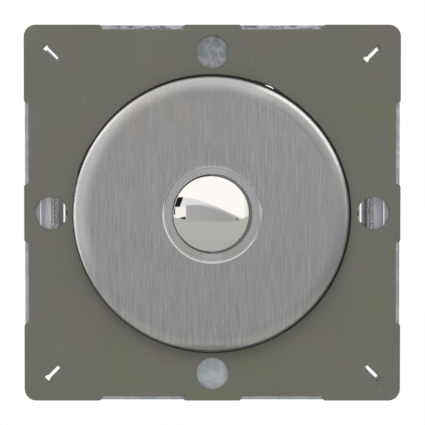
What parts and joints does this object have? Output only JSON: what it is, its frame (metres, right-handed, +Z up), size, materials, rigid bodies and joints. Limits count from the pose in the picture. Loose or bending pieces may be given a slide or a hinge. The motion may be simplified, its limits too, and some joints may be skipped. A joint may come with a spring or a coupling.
{
  "type": "pushbutton light switch",
  "caption": "Flush pushbutton light switch with a square taupe plate, round brushed steel fascia, polished ring and domed button.",
  "frame": {"origin": "on the button's axis, in the wall plane at the back of the steel frame", "axes": "+Z up the wall, face towards -Y, +X to the right of someone facing the switch"},
  "size_m": [0.07, 0.0293, 0.07],
  "materials": {
    "taupe_paint": "fine satin paint on pressed steel",
    "zinc_steel": "blue-white zinc plating, mottled",
    "brushed_steel": "stainless steel, vertical brushing",
    "polished_chrome": "mirror polish",
    "bronze_strip": "phosphor bronze, lightly tarnished",
    "contact_copper": "bare copper strip",
    "contact_silver": "silver contact rivet",
    "bright_steel": "zinc-plated screws and clamps",
    "spring_steel": "bright spring wire",
    "light_moulding": "light grey thermoset moulding",
    "dark_moulding": "dark grey thermoset moulding"
  },
  "bodies": {
    "root": {"front_plate": "taupe_paint", "mounting_frame": "zinc_steel", "earth_spring": "bronze_strip", "earth_rivet": "bright_steel", "fascia_disc": "brushed_steel", "fascia_carrier": "dark_moulding", "button_bezel": "polished_chrome", "bezel_nut": "bright_steel", "return_spring": "spring_steel", "switch_housing": "light_moulding", "housing_cover": "dark_moulding", "fixed_tip_top": "contact_silver", "fixed_contact_top": "contact_copper", "cage_clamp_top": "bright_steel", "terminal_screw_top": "bright_steel", "fixed_tip_bottom": "contact_silver", "fixed_contact_bottom": "contact_copper", "cage_clamp_bottom": "bright_steel", "terminal_screw_bottom": "bright_steel", "housing_screw_1": "bright_steel", "housing_screw_2": "bright_steel", "housing_screw_3": "bright_steel", "housing_screw_4": "bright_steel"},
    "button": {"push_button": "polished_chrome", "plunger": "light_moulding", "contact_bridge": "contact_copper", "contact_spring": "spring_steel", "bridge_tip_top": "contact_silver", "bridge_tip_bottom": "contact_silver"},
    "claw_screw_left": {"claw_screw_left": "bright_steel"},
    "claw_nut_left": {"claw_nut_left": "bright_steel"},
    "claw_left": {"claw_left": "zinc_steel"},
    "claw_screw_right": {"claw_screw_right": "bright_steel"},
    "claw_nut_right": {"claw_nut_right": "bright_steel"},
    "claw_right": {"claw_right": "zinc_steel"}
  },
  "joints": [
    {"name": "button_press", "type": "slide", "parent": "root", "child": "button", "axis": [0, 1, 0], "range_m": [0, 0.0025], "stiffness_N_per_m": 600, "springref_m": -0.004, "deforming": ["return_spring"]},
    {"name": "claw_screw_turn_left", "type": "hinge", "parent": "root", "child": "claw_screw_left", "pos_m": [-0.0253, 0, 0], "axis": [0, 1, 0], "range_deg": [0, 1296]},
    {"name": "claw_draw_left", "type": "slide", "parent": "root", "child": "claw_nut_left", "axis": [0, -1, 0], "range_m": [0, 0.0018]},
    {"name": "claw_swing_left", "type": "hinge", "parent": "claw_nut_left", "child": "claw_left", "pos_m": [-0.0253, 0.018, 0], "axis": [0, 0, -1], "range_deg": [0, 12]},
    {"name": "claw_screw_turn_right", "type": "hinge", "parent": "root", "child": "claw_screw_right", "pos_m": [0.0253, 0, 0], "axis": [0, 1, 0], "range_deg": [0, 1296]},
    {"name": "claw_draw_right", "type": "slide", "parent": "root", "child": "claw_nut_right", "axis": [0, -1, 0], "range_m": [0, 0.0018]},
    {"name": "claw_swing_right", "type": "hinge", "parent": "claw_nut_right", "child": "claw_right", "pos_m": [0.0253, 0.018, 0], "axis": [0, 0, 1], "range_deg": [0, 12]}
  ],
  "couplings": [
    {"joint": "claw_screw_turn_left", "follows": "claw_draw_left", "rad_per_m": 12566},
    {"joint": "claw_swing_left", "follows": "claw_draw_left", "rad_per_m": 116.36},
    {"joint": "claw_screw_turn_right", "follows": "claw_draw_right", "rad_per_m": 12566},
    {"joint": "claw_swing_right", "follows": "claw_draw_right", "rad_per_m": 116.36}
  ]
}
